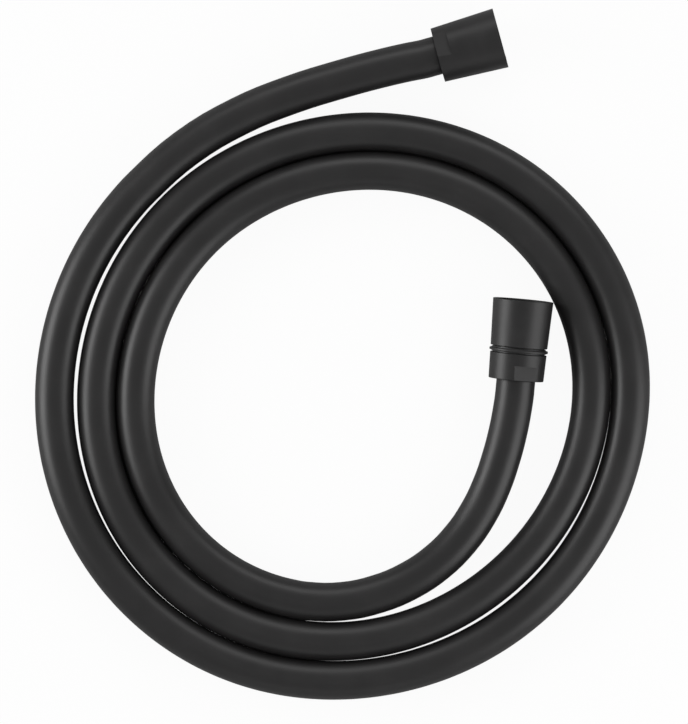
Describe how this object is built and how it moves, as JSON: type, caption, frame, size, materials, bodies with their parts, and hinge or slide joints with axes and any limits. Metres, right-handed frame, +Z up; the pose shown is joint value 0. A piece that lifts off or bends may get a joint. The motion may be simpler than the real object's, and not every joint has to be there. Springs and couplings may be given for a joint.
{
  "type": "shower hose",
  "caption": "Smooth black shower hose laid as a flat coil, with a conical nut on one end and a swivel nut on the other, both threaded for half-inch fittings.",
  "frame": {"origin": "on the surface that the hose lies on, under the middle of its outline", "axes": "+Z up from that surface; +Y across the coil towards the conical nut, its longest way; +X to the right, the way the conical nut points"},
  "size_m": [0.2348, 0.2646, 0.0238],
  "materials": {
    "hose": "smooth black soft PVC with a satin sheen",
    "nut_black": "satin black coat on turned brass",
    "ring_black": "plain black acetal, turned",
    "brass": "bare turned brass",
    "steel": "drawn stainless steel, fine marks round the axis",
    "nylon": "natural nylon",
    "rubber": "matt black rubber"
  },
  "bodies": {
    "root": {"hose": "hose", "cone_nipple": "brass", "cone_crimp_sleeve": "steel", "cone_washer": "rubber", "swivel_collar": "nut_black", "swivel_slip_ring": "ring_black", "swivel_spindle": "brass", "swivel_o_ring": "rubber", "swivel_thrust_washer": "nylon", "swivel_circlip": "steel", "swivel_crimp_sleeve": "steel"},
    "cone_slip_ring": {"cone_slip_ring": "nylon"},
    "cone_nut": {"cone_nut": "nut_black"},
    "swivel_nut": {"swivel_nut": "nut_black", "swivel_washer": "rubber"}
  },
  "joints": [
    {"name": "cone_nut_slide", "type": "slide", "parent": "root", "child": "cone_slip_ring", "axis": [-0.9636, -0.2636, -0.0441], "range_m": [0, 0.01]},
    {"name": "cone_nut_turn", "type": "hinge", "parent": "cone_slip_ring", "child": "cone_nut", "pos_m": [0.04804, 0.11764, 0.01107], "axis": [0.9636, 0.2636, 0.0441], "continuous": true},
    {"name": "swivel_nut_turn", "type": "hinge", "parent": "root", "child": "swivel_nut", "pos_m": [0.0682, 0.01017, 0.01169], "axis": [0.0905, 0.9945, 0.0526], "continuous": true}
  ]
}
